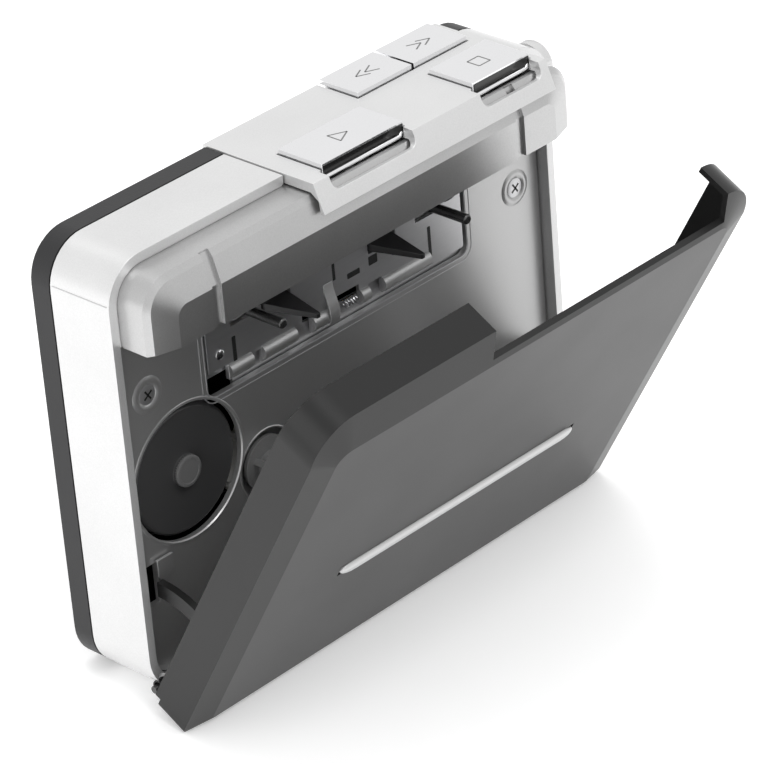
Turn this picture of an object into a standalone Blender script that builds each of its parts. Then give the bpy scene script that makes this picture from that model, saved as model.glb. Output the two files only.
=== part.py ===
"""Portable cassette player with its door open, built as separate sub-parts.

All design sizes are in millimetres and are turned into metres as each mesh is made.
X runs to the right, Y to the back and Z up.  The origin is on the bottom face of the
silver frame, half way along the frame's depth.  The door is drawn closed and then
turned open about its hinge.
"""
import math

import bmesh
import bpy
from mathutils import Matrix, Vector

MM = 0.001
GAP = 0.3                      # clearance left between touching pieces

# Driving dimensions
WIDTH = 114.0
HEIGHT = 87.2
FRAME_DEPTH = 14.6
SHELL_DEPTH = 5.7
CORNER = 8.5
WALL = 1.8
CORNER_STEPS = 10
POST = 3.2                     # length of the posts that take the back screws

HALF = WIDTH / 2
FRONT = -FRAME_DEPTH / 2       # front rim of the frame, where the door closes
BACK = FRAME_DEPTH / 2
SHELL_BACK = BACK + SHELL_DEPTH
INSIDE = HALF - WALL
TOP = HEIGHT - WALL            # underside of the frame's top wall

LID_HALF = 49.5                # battery lid, let into the back
LID_TOP = 18.0

# Deck plate and what shows through it
DECK_FRONT = FRONT + 2.5
DECK_THICK = 1.2
DECK_BACK = DECK_FRONT + DECK_THICK
DECK_TOP = 80.0
WINDOW = (-34.0, 34.5, 50.4, 78.0)
REEL_X = 21.25                 # half the 42.5 mm between a cassette's hubs
REEL_Z = 31.6
REEL_HOLE = 6.85
CAPSTAN_X = 24.15
CAPSTAN_Z = 64.9
MOTOR = (-40.5, 39.1)
MOTOR_HOLE = 13.3
DECK_SCREW = (48.3, 58.2)

# Hood, cap and buttons
HOOD_FRONT = FRONT - 8.5
HOOD_LOW = 71.3
HOOD_THICK = 1.4
HOOD_INSET = 2.1
CAP_X = (-13.0, 48.6)
CAP_TOP = HEIGHT + 0.2
CAP_LIP = (FRONT - 9.4, 81.8)
CAP_BEND = FRONT - 7.1
BUTTON_TOP = HEIGHT + 1.2
FRONT_KEYS = {"play": (-8.0, 13.0), "stop": (31.6, 47.0)}
BACK_KEYS = {"rewind": (16.9, 31.3), "forward": (31.9, 46.2)}
SLIDER_X = {"play": 2.5, "stop": 41.5, "rewind": 24.1, "forward": 35.0}
FRONT_KEY_Y = (FRONT - 4.5, FRONT + 6.2)
BACK_KEY_Y = (FRONT + 10.2, FRONT + 20.0)

# Mechanism levels along Y, behind the deck
CHASSIS_Y = DECK_BACK + GAP
CHASSIS_THICK = 0.8
GEAR_Y = (FRONT + 6.0, FRONT + 8.0)
FLYWHEEL_Y = (FRONT + 14.0, FRONT + 17.6)
FLYWHEEL_R = 15.0
PULLEY_R = 3.5
REEL_GEAR_R = 7.6
IDLER_R = 10.6
PINION_R = 4.0
GEAR_MODULE = 0.5
CARRIAGE_Y = (DECK_FRONT + 0.2, DECK_FRONT + 1.0)
CARRIAGE_TRAVEL = 1.3
CARRIAGE_NOTCHES = ((-34.0, -28.4, 55.2), (-22.5, -20.0, 54.6), (-11.3, -7.0, 58.2),
                    (-0.4, 5.6, 56.4), (8.0, 11.6, 55.4))
ROLLER_R = 5.0
ROLLER_LENGTH = 5.0
CAPSTAN_R = 1.0
GUIDE_X = {"left": -15.3, "right": 12.3}
GUIDE_HALF = 3.3

# Door, drawn closed
HINGE = (FRONT + 0.8, 1.6)
DOOR_OPEN = math.radians(30.0)
DOOR_BACK = FRONT - GAP
DOOR_FACE = FRONT - 9.8
DOOR_LOW = 0.3
DOOR_WALL = 1.2
DOOR_SKIN = 0.9
DOOR_FACE_X = 51.3
TRIM_HALF = 31.0
TRIM_Z = (31.7, 33.5)
DOOR_FACE_Z = (2.1, 80.0)
DOOR_NOTCH = (CAP_X[0] - 0.4, CAP_X[1] + 0.4)


def clear_scene():
    for thing in list(bpy.data.objects):
        bpy.data.objects.remove(thing, do_unlink=True)


MATERIALS = {
    "silver": ((0.80, 0.80, 0.81), 0.34, 0.85),
    "satin_black": ((0.045, 0.045, 0.048), 0.42, 0.0),
    "door_black": ((0.075, 0.075, 0.075), 0.38, 0.0),
    "deck_grey": ((0.33, 0.33, 0.34), 0.40, 0.55),
    "chrome": ((0.86, 0.86, 0.87), 0.10, 1.0),
    "steel": ((0.56, 0.56, 0.58), 0.28, 1.0),
    "black_plastic": ((0.02, 0.02, 0.02), 0.45, 0.0),
    "white_plastic": ((0.78, 0.78, 0.76), 0.5, 0.0),
    "rubber": ((0.02, 0.02, 0.02), 0.8, 0.0),
    "brass": ((0.72, 0.55, 0.28), 0.3, 1.0),
    "board_green": ((0.03, 0.22, 0.10), 0.5, 0.0),
}


def material(name):
    found = bpy.data.materials.get(name)
    if found:
        return found
    colour, roughness, metallic = MATERIALS[name]
    made = bpy.data.materials.new(name)
    made.use_nodes = True
    shader = made.node_tree.nodes["Principled BSDF"]
    shader.inputs["Base Color"].default_value = (*colour, 1.0)
    shader.inputs["Roughness"].default_value = roughness
    shader.inputs["Metallic"].default_value = metallic
    return made


def add_object(name, mesh_edit, slot, origin=(0.0, 0.0, 0.0), smooth=True):
    """Make an object from a bmesh in millimetres, with its origin at a point in millimetres."""
    bmesh.ops.translate(mesh_edit, verts=mesh_edit.verts, vec=-Vector(origin))
    bmesh.ops.scale(mesh_edit, verts=mesh_edit.verts, vec=(MM, MM, MM))
    bmesh.ops.recalc_face_normals(mesh_edit, faces=mesh_edit.faces)
    mesh = bpy.data.meshes.new(name)
    mesh_edit.to_mesh(mesh)
    mesh_edit.free()
    thing = bpy.data.objects.new(name, mesh)
    thing.location = Vector(origin) * MM
    mesh.materials.append(material(slot))
    bpy.context.scene.collection.objects.link(thing)
    if smooth:
        mesh.shade_smooth()
        mesh.set_sharp_from_angle(angle=math.radians(35))
    return thing


# Outlines are lists of (x, z) points; a solid is drawn by lofting them along Y.

def arc(centre_x, centre_z, radius, start, end, steps):
    angles = [math.radians(start + (end - start) * i / steps) for i in range(steps + 1)]
    return [(centre_x + radius * math.cos(a), centre_z + radius * math.sin(a)) for a in angles]


def rounded_rectangle(x0, x1, z0, z1, low_radius, high_radius, steps=CORNER_STEPS):
    points = arc(x0 + low_radius, z0 + low_radius, low_radius, 180, 270, steps)
    points += arc(x1 - low_radius, z0 + low_radius, low_radius, 270, 360, steps)
    points += arc(x1 - high_radius, z1 - high_radius, high_radius, 0, 90, steps)
    points += arc(x0 + high_radius, z1 - high_radius, high_radius, 90, 180, steps)
    return points


def circle(x, z, radius, steps=32):
    return arc(x, z, radius, 0, 360, steps)[:-1]


def toothed(x, z, radius, depth=0.7):
    """Gear outline with straight-sided teeth of the common module."""
    teeth = round(2 * radius / GEAR_MODULE)
    points = []
    for i in range(teeth * 2):
        angle = math.pi * i / teeth
        reach = radius if i % 2 == 0 else radius - depth
        points.append((x + reach * math.cos(angle), z + reach * math.sin(angle)))
    return points


def ring_of(mesh_edit, outline, y):
    """Add one loop of vertices.  y is a number, or a function of (x, z)."""
    level = y if callable(y) else (lambda x, z: y)
    return [mesh_edit.verts.new((x, level(x, z), z)) for x, z in outline]


def bridge(mesh_edit, first, second):
    count = len(first)
    for i in range(count):
        after = (i + 1) % count
        mesh_edit.faces.new((first[i], first[after], second[after], second[i]))


def loft(sections):
    """A closed solid through (outline, y) sections, capped at both ends."""
    mesh_edit = bmesh.new()
    rings = [ring_of(mesh_edit, outline, y) for outline, y in sections]
    for first, second in zip(rings, rings[1:]):
        bridge(mesh_edit, first, second)
    mesh_edit.faces.new(rings[0])
    mesh_edit.faces.new(rings[-1])
    return mesh_edit


def closed_loft(sections):
    """A closed ring-shaped solid: the last section joins back to the first."""
    mesh_edit = bmesh.new()
    rings = [ring_of(mesh_edit, outline, y) for outline, y in sections]
    for first, second in zip(rings, rings[1:] + rings[:1]):
        bridge(mesh_edit, first, second)
    return mesh_edit


def prism(outline, y0, y1):
    return loft([(outline, y0), (outline, y1)])


def box(x0, x1, y0, y1, z0, z1):
    return prism([(x0, z0), (x1, z0), (x1, z1), (x0, z1)], y0, y1)


def turned(x, z, profile, steps=32):
    """A solid turned about an axis along Y; profile is a list of (y, radius)."""
    return loft([(circle(x, z, radius, steps), y) for y, radius in profile])


def along_x(outline_yz, x0, x1):
    """A prism whose outline of (y, z) points is carried along X."""
    mesh_edit = bmesh.new()
    first = [mesh_edit.verts.new((x0, y, z)) for y, z in outline_yz]
    second = [mesh_edit.verts.new((x1, y, z)) for y, z in outline_yz]
    bridge(mesh_edit, first, second)
    mesh_edit.faces.new(first)
    mesh_edit.faces.new(second)
    return mesh_edit


def combine(thing, tools, operation):
    """Apply an exact Boolean of each tool, a bmesh in millimetres, to the object."""
    for tool in tools:
        other = add_object("tool", tool, "steel", smooth=False)
        step = thing.modifiers.new("cut", "BOOLEAN")
        step.operation = operation
        step.solver = "EXACT"
        step.object = other
        bpy.context.view_layer.update()
        evaluated = thing.evaluated_get(bpy.context.evaluated_depsgraph_get())
        result = bpy.data.meshes.new_from_object(evaluated)
        thing.modifiers.remove(step)
        thing.data = result
        bpy.data.objects.remove(other, do_unlink=True)
    thing.data.materials.clear()
    thing.data.materials.append(bpy.data.materials[thing["slot"]])
    thing.data.shade_smooth()
    thing.data.set_sharp_from_angle(angle=math.radians(35))


def solid(name, mesh_edit, slot, cuts=(), joins=(), origin=(0.0, 0.0, 0.0)):
    """Make one sub-part, joining and cutting it while its origin is still the world's."""
    thing = add_object(name, mesh_edit, slot)
    thing["slot"] = slot
    if joins:
        combine(thing, joins, "UNION")
    if cuts:
        combine(thing, cuts, "DIFFERENCE")
    offset = Vector(origin) * MM
    thing.data.transform(Matrix.Translation(-offset))
    thing.location = offset
    del thing["slot"]
    return thing


# Casing

def frame_outline(inset=0.0):
    radius = CORNER - inset
    return rounded_rectangle(-HALF + inset, HALF - inset, inset, HEIGHT - inset, radius, radius)


def cap_opening(y0, y1):
    return box(CAP_X[0] - GAP, CAP_X[1] + GAP, y0, y1, TOP - GAP, HEIGHT + 5)


def build_frame():
    outer = frame_outline()
    inner = frame_outline(WALL)
    ring = closed_loft([(outer, FRONT), (outer, BACK), (inner, BACK), (inner, FRONT)])
    joins = []
    cuts = [cap_opening(FRONT - 1, BACK + 1)]
    for side in (-1, 1):
        for z in (22.0, 68.0):
            low, high = sorted((side * 49.6, side * (INSIDE + 0.5)))
            joins.append(box(low, high, BACK - POST, BACK, z - 3.0, z + 3.0))
            cuts.append(prism(circle(side * 52.3, z, 1.1, 12), BACK - POST + 0.6, BACK + 1))
        low, high = sorted((side * 52.9, side * INSIDE))
        cuts.append(box(low, high, FRONT - 1, FRONT + 2.6, -1, WALL + 3.0))
        low, high = sorted((side * (INSIDE - 1), side * (HALF - 0.6)))
        cuts.append(along_x(circle(*HINGE, 1.1, 12), low, high))
        low, high = sorted((side * 47.5, side * (INSIDE + 0.5)))
        joins.append(box(low, high, DECK_BACK + GAP, DECK_BACK + 3.0, 56.0, 60.4))
        cuts.append(prism(circle(side * DECK_SCREW[0], DECK_SCREW[1], 1.1, 12), DECK_FRONT, DECK_BACK + 4))
    for y, z, size in ((FRONT + 6.5, 66.0, 3.6), (FRONT + 6.5, 50.0, 4.2)):
        cuts.append(box(INSIDE - 1, HALF + 1, y - size / 2, y + size / 2, z - size / 2, z + size / 2))
    cuts.append(box(INSIDE - 1, HALF + 1, FRONT + 4.3, FRONT + 6.3, 78.3, 80.3))
    solid("frame", ring, "silver", cuts, joins)


def build_back_shell():
    outer = frame_outline()
    inner = frame_outline(WALL)
    rounded = frame_outline(0.9)
    floor = SHELL_BACK - 1.5
    start = BACK + GAP
    tray = bmesh.new()
    rings = [ring_of(tray, outline, y) for outline, y in (
        (inner, floor), (inner, start), (outer, start), (outer, SHELL_BACK - 0.9), (rounded, SHELL_BACK))]
    for first, second in zip(rings, rings[1:]):
        bridge(tray, first, second)
    tray.faces.new(rings[0])
    tray.faces.new(rings[-1])
    cuts = [cap_opening(start - 1, SHELL_BACK + 1)]
    cuts.append(box(-LID_HALF - GAP, LID_HALF + GAP, floor - 0.3, SHELL_BACK + 1, -1, LID_TOP + GAP))
    for side in (-1, 1):
        for z in (22.0, 68.0):
            cuts.append(prism(circle(side * 52.3, z, 1.4, 12), floor - 1, SHELL_BACK + 1))
    solid("back_shell", tray, "satin_black", cuts)


def hood_outline(inset=0.0, lift=0.0):
    edge = HALF - HOOD_INSET - inset
    radius = CORNER - HOOD_INSET - min(inset, 4.0)
    return rounded_rectangle(-edge, edge, HOOD_LOW + lift, HEIGHT - HOOD_INSET - inset, 0.2, radius)


def build_hood():
    start = DECK_FRONT - GAP
    bend = FRONT - 6.0
    shell = bmesh.new()
    rings = [ring_of(shell, outline, y) for outline, y in (
        (hood_outline(6.6, HOOD_THICK), HOOD_FRONT + HOOD_THICK), (hood_outline(2.4, HOOD_THICK), bend + 0.5),
        (hood_outline(HOOD_THICK, HOOD_THICK), start), (hood_outline(), start),
        (hood_outline(), bend), (hood_outline(1.2), bend - 0.9), (hood_outline(6.0), HOOD_FRONT))]
    for first, second in zip(rings, rings[1:]):
        bridge(shell, first, second)
    shell.faces.new(rings[0])
    shell.faces.new(rings[-1])
    side = HALF - HOOD_INSET - 5.9
    cuts = [box(-side, side, HOOD_FRONT + HOOD_THICK + 0.1, start + 1, HOOD_LOW - 1, HOOD_LOW + 3)]
    for x0, x1 in FRONT_KEYS.values():
        cuts.append(box(x0 - 0.6, x1 + 0.6, FRONT_KEY_Y[0] - 0.6, start + 1, TOP - 4, HEIGHT))
    floor = HOOD_FRONT + 0.7
    groove = [(floor, HOOD_LOW - 1.5), (floor, 79.0), (bend - 0.2, 83.8), (bend + 0.4, 84.8),
              (bend + 0.4, 90.0), (HOOD_FRONT - 1.4, 90.0), (HOOD_FRONT - 1.4, HOOD_LOW - 1.5)]
    for x in (-39.3, 39.3):
        cuts.append(along_x(groove, x - 1.1, x + 1.1))
    solid("hood", shell, "silver", cuts)


def build_deck():
    outline = rounded_rectangle(-54.9, 54.9, 2.1, DECK_TOP, 6.4, 1.0)
    plate = prism(outline, DECK_FRONT, DECK_BACK)
    back = DECK_BACK + 1
    ahead = DECK_FRONT - 1
    x0, x1, z0, z1 = WINDOW
    cuts = [prism(rounded_rectangle(x0, x1, z0, z1, 2.0, 2.0), ahead, back)]
    cuts.append(prism(circle(*MOTOR, MOTOR_HOLE, 64), ahead, back))
    for side in (-1, 1):
        cuts.append(prism(circle(side * REEL_X, REEL_Z, REEL_HOLE, 40), ahead, back))
        cuts.append(prism(circle(side * DECK_SCREW[0], DECK_SCREW[1], 1.5, 12), ahead, back))
        low, high = sorted((side * 50.6, side * 56.0))
        cuts.append(box(low, high, ahead, back, 17.0, 25.2))
    solid("deck_plate", plate, "deck_grey", cuts)


def build_cap():
    inner_bend = FRONT - 6.0 - GAP
    profile = [(SHELL_BACK, CAP_TOP), (CAP_BEND, CAP_TOP), CAP_LIP, (HOOD_FRONT + 0.15, CAP_LIP[1]),
               (inner_bend - 1.75, TOP - 1.3), (inner_bend, TOP), (SHELL_BACK, TOP)]
    cap = along_x(profile, *CAP_X)
    cuts = []
    for x0, x1 in FRONT_KEYS.values():
        cuts.append(box(x0 - GAP, x1 + GAP, FRONT_KEY_Y[0] - GAP, FRONT_KEY_Y[1] + GAP, TOP - 2, HEIGHT + 5))
        scoop = rounded_rectangle(x0 - 1.0, x1 - 0.4, 84.6, 92.0, 1.6, 1.6, 4)
        cuts.append(prism(scoop, FRONT - 14, FRONT_KEY_Y[0]))
    for x0, x1 in BACK_KEYS.values():
        cuts.append(box(x0 - GAP, x1 + GAP, BACK_KEY_Y[0] - GAP, BACK_KEY_Y[1] + GAP, TOP - 2, HEIGHT + 5))
    solid("top_cap", cap, "silver", cuts)


def build_battery_lid():
    lid = box(-LID_HALF, LID_HALF, SHELL_BACK - 1.5, SHELL_BACK, 0.3, LID_TOP)
    grips = [box(-9, 9, SHELL_BACK - 0.5, SHELL_BACK + 1, z, z + 0.8) for z in (3.0, 4.6, 6.2, 7.8)]
    solid("battery_lid", lid, "satin_black", grips)


# Keys

def key_foot(name, y0, y1):
    """Sheet metal slider under a key, with a foot that bears on the key's spring."""
    middle = SLIDER_X[name]
    toward = y0 - 3.4 if y0 > FRONT + 8 else y0
    away = y1 if y0 > FRONT + 8 else y1 + 3.4
    strip = box(middle - 2.4, middle + 2.4, y0, y1, 78.8, TOP - GAP)
    foot = box(middle - 2.4, middle + 2.4, toward, away, 78.0, 78.8)
    solid(name + "_slider", strip, "steel", joins=[foot])
    return middle, (toward + away) / 2


def key_spring(name, x, y):
    """Coil spring between the key bracket and the slider's foot."""
    low, high, radius, wire, turns, per_turn = 70.35, 77.45, 1.6, 0.25, 5, 10
    count = turns * per_turn
    spring = bmesh.new()
    rings = []
    for i in range(count + 1):
        angle = 2 * math.pi * i / per_turn
        outward = Vector((math.cos(angle), math.sin(angle), 0))
        centre = Vector((x, y, low + (high - low) * i / count)) + outward * radius
        corners = [(wire, 0), (0, wire), (-wire, 0), (0, -wire)]
        rings.append([spring.verts.new(centre + outward * a + Vector((0, 0, b))) for a, b in corners])
    for first, second in zip(rings, rings[1:]):
        bridge(spring, first, second)
    spring.faces.new(rings[0])
    spring.faces.new(rings[-1])
    solid(name + "_spring", spring, "steel")


def build_keys():
    rows = ((FRONT_KEYS, FRONT_KEY_Y, (FRONT + 5.1, FRONT + 5.9)),
            (BACK_KEYS, BACK_KEY_Y, (FRONT + 11.0, FRONT + 11.8)))
    for keys, (y0, y1), (strip0, strip1) in rows:
        for name, (x0, x1) in keys.items():
            plate = box(x0, x1, y0, y1, TOP, BUTTON_TOP)
            step = box(x0 - 1, x1 + 1, SHELL_BACK - 1.8, SHELL_BACK + 1, TOP - 1, HEIGHT + 0.25)
            solid(name + "_button", plate, "chrome", cuts=[step])
            x, y = key_foot(name, strip0, strip1)
            key_spring(name, x, y)
    shelf = box(-1.0, 44.5, CHASSIS_Y + CHASSIS_THICK + GAP, FRONT + 12.4, 69.2, 70.0)
    solid("key_bracket", shelf, "steel")


# Tape mechanism

def build_chassis():
    plate = box(-37.0, 38.0, CHASSIS_Y, CHASSIS_Y + CHASSIS_THICK, 18.5, 78.5)
    y0 = CHASSIS_Y - 1
    y1 = CHASSIS_Y + 2
    cuts = [prism(circle(side * REEL_X, REEL_Z, 2.4, 16), y0, y1) for side in (-1, 1)]
    cuts += [prism(circle(side * CAPSTAN_X, CAPSTAN_Z, 2.8, 16), y0, y1) for side in (-1, 1)]
    cuts.append(box(-38, -26.5, y0, y1, 24.0, 53.5))
    cuts.append(box(-8.0, 8.0, y0, y1, 54.0, 62.0))
    solid("chassis", plate, "steel", cuts)


def build_carriage():
    y0, y1 = CARRIAGE_Y
    plate = prism(rounded_rectangle(-33.2, 33.7, 52.0, 77.6, 0.5, 1.0, 3), y0, y1)
    cuts = []
    for side in (-1, 1):
        cuts.append(box(side * CAPSTAN_X - 2.8, side * CAPSTAN_X + 2.8, y0 - 1, y1 + 1,
                        CAPSTAN_Z - 2.8, CAPSTAN_Z + 2.8 + CARRIAGE_TRAVEL))
    reach = GUIDE_HALF + 0.4
    for x in GUIDE_X.values():
        cuts.append(box(x - reach, x + reach, y0 - 1, y1 + 1, 61.1, 63.6 + CARRIAGE_TRAVEL))
    for x0, x1, top in CARRIAGE_NOTCHES:
        cuts.append(box(x0, x1, y0 - 1, y1 + 1, 51.0, top))
    solid("head_carriage", plate, "steel", cuts)
    head = along_x([(y0 - GAP, 71.4), (y0 - GAP, 77.0), (FRONT - 6.4, 77.0), (FRONT - 6.4, 71.4),
                    (FRONT - 5.2, 70.2), (y0 - 2.0, 70.2)], -6.0, 6.0)
    solid("tape_head", head, "chrome")


def build_pinch_rollers():
    for side, name in ((-1, "left"), (1, "right")):
        pivot = (side * 30.5, 75.4)
        axle = (side * CAPSTAN_X, CAPSTAN_Z + ROLLER_R + CAPSTAN_R + CARRIAGE_TRAVEL + GAP)
        y = CARRIAGE_Y[0] - GAP
        slope = math.atan2(pivot[1] - axle[1], pivot[0] - axle[0])
        degrees = math.degrees(slope)
        outline = arc(*pivot, 1.7, degrees - 90, degrees + 90, 6)
        outline += arc(*axle, 1.7, degrees + 90, degrees + 270, 6)
        arm = prism(outline, y - 0.8, y)
        post = turned(*axle, [(y - 0.4, 0.7), (y - ROLLER_LENGTH - 1.4, 0.7)], 10)
        solid("pinch_arm_" + name, arm, "steel", joins=[post], origin=(pivot[0], y, pivot[1]))
        outer = circle(*axle, ROLLER_R)
        bore = circle(*axle, 1.0)
        y0, y1 = y - 1.1, y - 1.1 - ROLLER_LENGTH
        roller = closed_loft([(outer, y0), (outer, y1), (bore, y1), (bore, y0)])
        solid("pinch_roller_" + name, roller, "rubber", origin=(axle[0], y, axle[1]))


def build_guides():
    for name, x in GUIDE_X.items():
        low, high = x - GUIDE_HALF, x + GUIDE_HALF
        root = [(low, 61.4), (high, 61.4), (high, 63.0), (low, 63.0)]
        tip = [(high - 0.8, 59.8), (high, 59.8), (high, 60.8), (high - 0.8, 60.8)]
        solid("tape_guide_" + name, loft([(root, CHASSIS_Y - GAP), (tip, FRONT - 5.0)]), "black_plastic")


def build_capstans():
    for side, name in ((-1, "left"), (1, "right")):
        x = side * CAPSTAN_X
        origin = (x, 0.0, CAPSTAN_Z)
        shaft = turned(x, CAPSTAN_Z, [(FRONT - 8.3, 0.7), (FRONT - 8.0, CAPSTAN_R),
                                      (FLYWHEEL_Y[0] - 0.5, CAPSTAN_R)], 16)
        solid("capstan_" + name, shaft, "steel", origin=origin)
        wheel = turned(x, CAPSTAN_Z, [(FLYWHEEL_Y[0] - 0.2, 3.0), (FLYWHEEL_Y[0], FLYWHEEL_R),
                                      (FLYWHEEL_Y[1], FLYWHEEL_R)], 36)
        solid("flywheel_" + name, wheel, "brass", origin=origin)
    pinion = toothed(CAPSTAN_X, CAPSTAN_Z, PINION_R)
    hole = circle(CAPSTAN_X, CAPSTAN_Z, CAPSTAN_R + GAP, 32)
    y0, y1 = GEAR_Y
    gear = closed_loft([(pinion, y0), (pinion, y1), (hole, y1), (hole, y0)])
    solid("capstan_pinion", gear, "white_plastic", origin=(CAPSTAN_X, 0.0, CAPSTAN_Z))


def idler_centre():
    reach = REEL_GEAR_R + IDLER_R + GAP
    toward = Vector((CAPSTAN_X - REEL_X, CAPSTAN_Z - REEL_Z)).normalized()
    return REEL_X + toward.x * reach, REEL_Z + toward.y * reach


def build_reels():
    for side, name in ((-1, "left"), (1, "right")):
        x = side * REEL_X
        origin = (x, 0.0, REEL_Z)
        hub = turned(x, REEL_Z, [(FRONT - 6.4, 1.2), (FRONT - 5.4, 2.6), (DECK_FRONT - 0.6, 2.9),
                                 (DECK_FRONT, 5.4), (DECK_BACK - GAP, 5.4), (DECK_BACK, 1.9),
                                 (GEAR_Y[0] - GAP, 1.9)])
        fins = []
        for k in range(3):
            fin = box(x + 1.0, x + 4.1, FRONT - 4.6, DECK_FRONT + 0.2, REEL_Z - 0.6, REEL_Z + 0.6)
            turn = Matrix.Rotation(math.radians(120 * k + 90), 3, "Y")
            bmesh.ops.rotate(fin, verts=fin.verts, cent=(x, 0, REEL_Z), matrix=turn)
            fins.append(fin)
        solid("reel_spindle_" + name, hub, "black_plastic", joins=fins, origin=origin)
        gear = prism(toothed(x, REEL_Z, REEL_GEAR_R), *GEAR_Y)
        solid("reel_gear_" + name, gear, "white_plastic", origin=origin)
    x, z = idler_centre()
    solid("idler_gear", prism(toothed(x, z, IDLER_R), *GEAR_Y), "white_plastic", origin=(x, 0.0, z))


def build_motor():
    x, z = MOTOR
    front = DECK_FRONT + 0.9
    can = turned(x, z, [(front - 0.9, 2.9), (front - 0.7, 3.05), (front, 3.05), (front, 11.9),
                        (front + 0.7, 12.6), (FRONT + 13.2, 12.6), (FRONT + 13.5, 12.2)], 56)
    solid("motor", can, "black_plastic")
    pulley = turned(x, z, [(FRONT + 13.8, PULLEY_R), (FRONT + 17.6, PULLEY_R)], 20)
    solid("motor_pulley", pulley, "brass", origin=(x, 0.0, z))
    clip = prism([(x - 10.6, 22.6), (x - 9.4, 21.3), (x - 6.7, 22.4), (x - 6.7, 25.9), (x - 10.6, 25.9)],
                 DECK_FRONT - 0.9, DECK_FRONT - GAP)
    solid("motor_clip", clip, "deck_grey")


def belt_path(gap):
    """Outline of the belt round the motor pulley and both flywheels."""
    wheels = [(MOTOR[0], MOTOR[1], PULLEY_R + gap), (CAPSTAN_X, CAPSTAN_Z, FLYWHEEL_R + gap),
              (-CAPSTAN_X, CAPSTAN_Z, FLYWHEEL_R + gap)]
    points = []
    for i, (x, z, radius) in enumerate(wheels):
        before = wheels[i - 1]
        after = wheels[(i + 1) % 3]
        start = tangent_angle(before, (x, z, radius))
        end = tangent_angle((x, z, radius), after)
        if end < start:
            end += 360
        points += arc(x, z, radius, start, end, 10)
    return points


def tangent_angle(first, second):
    """Direction, in degrees, of the outer tangent point shared by two wheels taken in turn."""
    run = math.atan2(second[1] - first[1], second[0] - first[0])
    span = math.hypot(second[0] - first[0], second[1] - first[1])
    lean = math.asin((first[2] - second[2]) / span)
    return math.degrees(run - math.pi / 2 + lean)


def build_belt():
    outer = belt_path(GAP + 0.9)
    inner = belt_path(GAP)
    y0, y1 = FLYWHEEL_Y[0] + 0.8, FLYWHEEL_Y[1] - 0.8
    solid("drive_belt", closed_loft([(outer, y0), (outer, y1), (inner, y1), (inner, y0)]), "rubber")


# Electronics

def build_electronics():
    board = box(40.8, 54.6, FRONT + 9.5, FRONT + 10.7, 27.0, 64.6)
    chip = box(43.0, 49.0, FRONT + 10.6, FRONT + 12.0, 34.0, 40.0)
    solid("circuit_board", board, "board_green", joins=[chip])
    y = FRONT + 6.5
    for name, z, size, slot in (("headphone_jack", 66.0, 3.0, "black_plastic"),
                                ("usb_socket", 50.0, 3.6, "steel")):
        reach = size / 2
        body = box(43.5, HALF - 0.4, y - reach, y + reach, z - reach, z + reach)
        reach -= 0.7
        mouth = box(HALF - 8, HALF + 1, y - reach, y + reach, z - reach, z + reach)
        solid(name, body, slot, cuts=[mouth])
    y, z = FRONT + 5.3, 79.3
    knob = along_x(circle(y, z, 4.4), HALF + GAP, HALF + 3.0)
    shaft = along_x(circle(y, z, 0.7, 10), HALF - 5.0, HALF + 1.0)
    solid("volume_knob", knob, "silver", joins=[shaft], origin=(HALF, y, z))
    for name, x in (("battery_spring", -52.6), ("battery_contact", 51.8)):
        solid(name, box(x, x + 0.8, FRONT + 6.0, FRONT + 16.0, 4.0, 15.0), "steel")


def build_screws():
    for side, label in ((-1, "left"), (1, "right")):
        x, z = side * DECK_SCREW[0], DECK_SCREW[1]
        head = DECK_FRONT - GAP
        screw = turned(x, z, [(head - 1.0, 1.8), (head, 2.2), (head + 0.01, 0.8), (DECK_BACK + 2.5, 0.8)], 14)
        slot = [box(x - 1.3, x + 1.3, DECK_FRONT - 2, DECK_FRONT - 0.8, z - 0.25, z + 0.25)]
        solid("deck_screw_" + label, screw, "steel", cuts=slot)
        head = SHELL_BACK - 0.3
        for height, level in ((22.0, "low"), (68.0, "high")):
            screw = turned(side * 52.3, height, [(BACK - POST + 1.0, 0.8), (head - 0.01, 0.8),
                                                 (head, 1.1), (head + 0.2, 1.1)], 10)
            solid("back_screw_" + label + "_" + level, screw, "steel")


# Door

def door_outline(inset=0.0):
    radius = CORNER - min(inset, CORNER - 1.0)
    return rounded_rectangle(-HALF + inset, HALF - inset, DOOR_LOW + inset, HEIGHT - inset,
                             max(1.0 - inset, 0.1), radius)


def door_face_outline():
    return rounded_rectangle(-DOOR_FACE_X, DOOR_FACE_X, *DOOR_FACE_Z, 0.4, 3.0)


def door_crease(x, z):
    """The side walls are deeper than the top wall, so the chamfer starts further forward there."""
    share = max(0.0, min(1.0, (z - (HEIGHT - CORNER)) / CORNER))
    return FRONT - 8.6 + 1.2 * share


def door_arm(side, inner):
    """Flat arm that curves round the hinge and stops the open door."""
    y, z = HINGE
    angles = [math.radians(62 + 46 * i / 8) for i in range(9)]
    outline = [(y + 21.5 * math.cos(a), z + 21.5 * math.sin(a)) for a in angles]
    outline += [(y + 18.5 * math.cos(a), z + 18.5 * math.sin(a)) for a in reversed(angles)]
    low, high = sorted((side * inner, side * (inner + 1.5)))
    return along_x(outline, low, high)


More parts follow.
